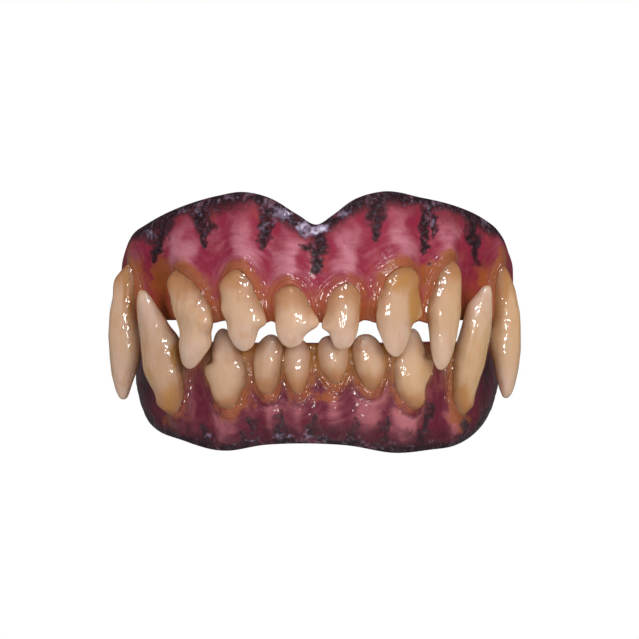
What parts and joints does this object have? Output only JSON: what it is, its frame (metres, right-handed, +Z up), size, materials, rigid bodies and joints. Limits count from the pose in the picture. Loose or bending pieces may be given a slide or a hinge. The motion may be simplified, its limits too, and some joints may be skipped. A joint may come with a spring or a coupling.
{
  "type": "wolf costume teeth",
  "caption": "Wolf costume teeth: upper and lower mouth plates with painted gums, each a channel that fits over the wearer's own teeth, set with fangs and pointed incisors in bite position.",
  "frame": {"origin": "on the midline, halfway between the two plates, at the edges of the wearer's own front teeth", "axes": "+X to the right as seen from the front, +Y back into the mouth, +Z up"},
  "size_m": [0.0699, 0.043, 0.0428],
  "materials": {
    "gum_acrylic": "hard acrylic painted pink and magenta with black mottling and brown stains, under a clear gloss coat",
    "tooth_acrylic": "hard ivory acrylic, tan at the neck and stained in places, under a clear gloss coat"
  },
  "bodies": {
    "root": {"upper_gum_plate": "gum_acrylic", "lower_gum_plate": "gum_acrylic", "upper_canine_left": "tooth_acrylic", "upper_corner_incisor_left": "tooth_acrylic", "upper_middle_incisor_left": "tooth_acrylic", "upper_central_incisor_left": "tooth_acrylic", "upper_canine_right": "tooth_acrylic", "upper_corner_incisor_right": "tooth_acrylic", "upper_middle_incisor_right": "tooth_acrylic", "upper_central_incisor_right": "tooth_acrylic", "lower_canine_left": "tooth_acrylic", "lower_corner_incisor_left": "tooth_acrylic", "lower_middle_incisor_left": "tooth_acrylic", "lower_central_incisor_left": "tooth_acrylic", "lower_canine_right": "tooth_acrylic", "lower_corner_incisor_right": "tooth_acrylic", "lower_middle_incisor_right": "tooth_acrylic", "lower_central_incisor_right": "tooth_acrylic"}
  },
  "joints": []
}
